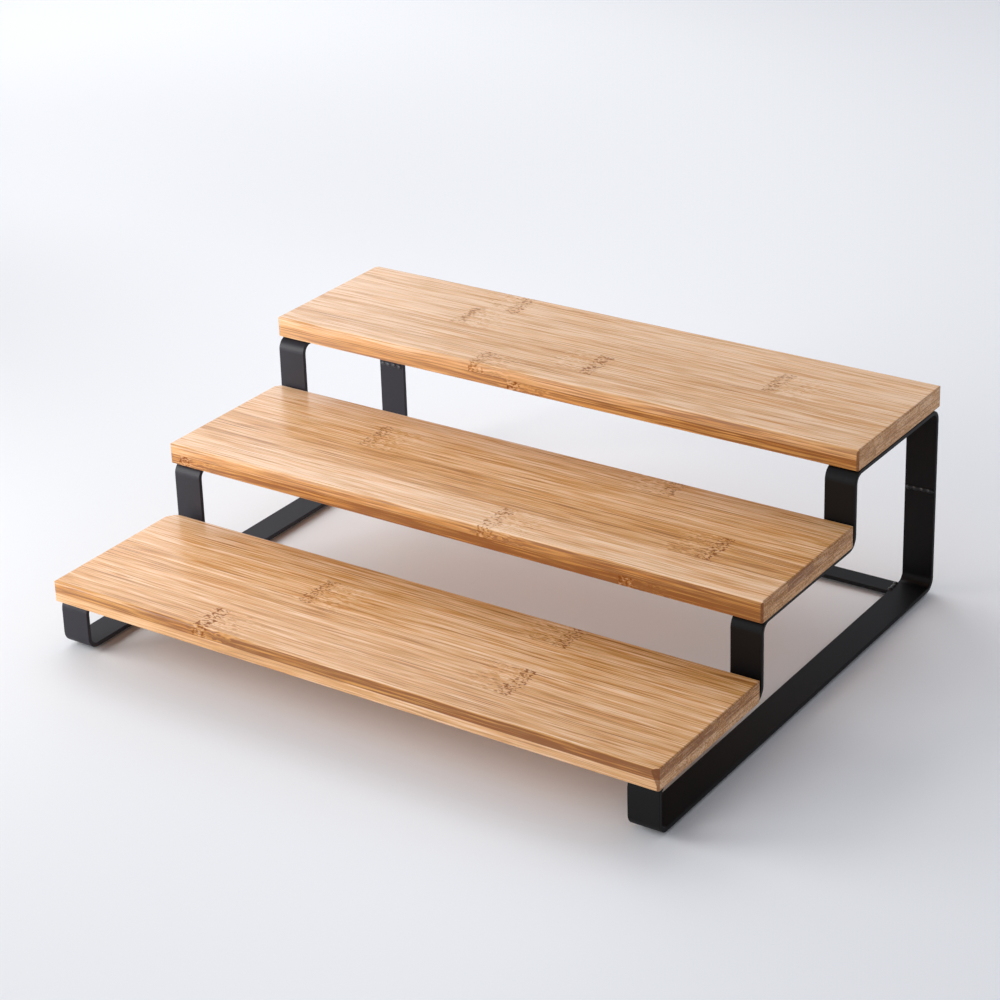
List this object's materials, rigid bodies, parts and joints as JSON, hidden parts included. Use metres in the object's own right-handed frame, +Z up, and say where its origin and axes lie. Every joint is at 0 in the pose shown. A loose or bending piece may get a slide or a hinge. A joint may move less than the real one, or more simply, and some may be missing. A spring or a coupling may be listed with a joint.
{
  "type": "tiered display stand",
  "caption": "Stair-step tabletop stand: laminated bamboo plank tiers screwed onto black bent flat-bar side frames tied by a rear crossbar, for setting out goods or food.",
  "frame": {"origin": "on the supporting surface, under the middle of the stand's box", "axes": "+X along the planks towards the stand's right end seen from the front, +Y from the low front tier to the high rear tier, +Z up"},
  "size_m": [0.404, 0.3244, 0.1306],
  "materials": {
    "bamboo": "satin clear lacquer",
    "black_powder_coat": "satin black powder coat",
    "zinc_screw": "bright zinc plate",
    "rubber_pad": "matte black"
  },
  "bodies": {
    "root": {"front_plank_upper_strip_1": "bamboo", "front_plank_upper_strip_2": "bamboo", "front_plank_upper_strip_3": "bamboo", "front_plank_upper_strip_4": "bamboo", "front_plank_lower_strip_1": "bamboo", "front_plank_lower_strip_2": "bamboo", "front_plank_lower_strip_3": "bamboo", "front_plank_lower_strip_4": "bamboo", "middle_plank_upper_strip_1": "bamboo", "middle_plank_upper_strip_2": "bamboo", "middle_plank_upper_strip_3": "bamboo", "middle_plank_upper_strip_4": "bamboo", "middle_plank_lower_strip_1": "bamboo", "middle_plank_lower_strip_2": "bamboo", "middle_plank_lower_strip_3": "bamboo", "middle_plank_lower_strip_4": "bamboo", "top_plank_upper_strip_1": "bamboo", "top_plank_upper_strip_2": "bamboo", "top_plank_upper_strip_3": "bamboo", "top_plank_upper_strip_4": "bamboo", "top_plank_lower_strip_1": "bamboo", "top_plank_lower_strip_2": "bamboo", "top_plank_lower_strip_3": "bamboo", "top_plank_lower_strip_4": "bamboo", "left_side_frame": "black_powder_coat", "right_side_frame": "black_powder_coat", "rear_crossbar": "black_powder_coat", "left_crossbar_weld": "black_powder_coat", "left_rear_leg_weld": "black_powder_coat", "right_crossbar_weld": "black_powder_coat", "right_rear_leg_weld": "black_powder_coat", "front_plank_screws": "zinc_screw", "middle_plank_screws": "zinc_screw", "top_plank_screws": "zinc_screw", "front_left_foot": "rubber_pad", "front_right_foot": "rubber_pad", "rear_left_foot": "rubber_pad", "rear_right_foot": "rubber_pad"}
  },
  "joints": []
}
